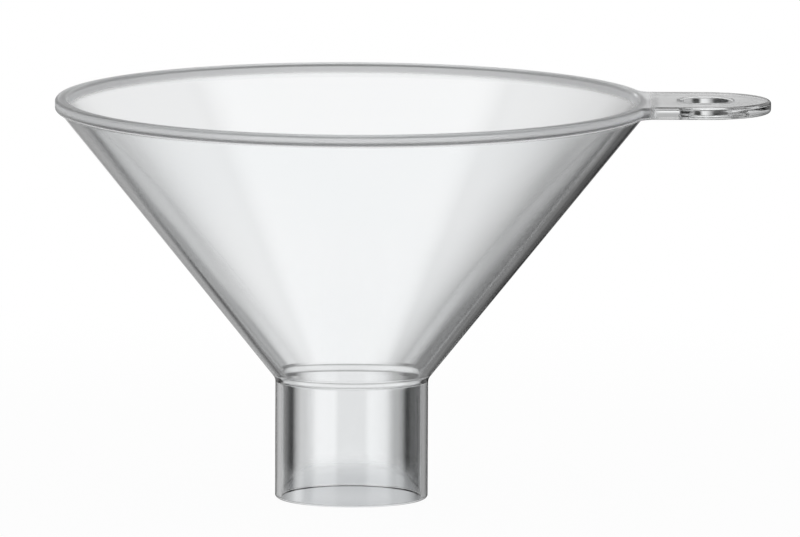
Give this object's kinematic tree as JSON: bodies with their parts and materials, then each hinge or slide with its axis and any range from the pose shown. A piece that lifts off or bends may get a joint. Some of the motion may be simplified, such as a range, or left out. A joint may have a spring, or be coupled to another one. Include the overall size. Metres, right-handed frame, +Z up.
{
  "type": "powder funnel",
  "caption": "Clear plastic powder funnel with a wide conical bowl, a rounded bead round the mouth, a flat hanging tab with a hole, and a short, wide, straight stem.",
  "frame": {"origin": "on the funnel's axis, in the plane of the stem's square-cut foot", "axes": "+Z up the axis from the stem to the mouth, +X from the axis to the hanging tab, +Y to the back"},
  "size_m": [0.1202, 0.1, 0.0676],
  "materials": {
    "clear_plastic": "clear, polished"
  },
  "bodies": {
    "root": {"funnel": "clear_plastic"}
  },
  "joints": []
}
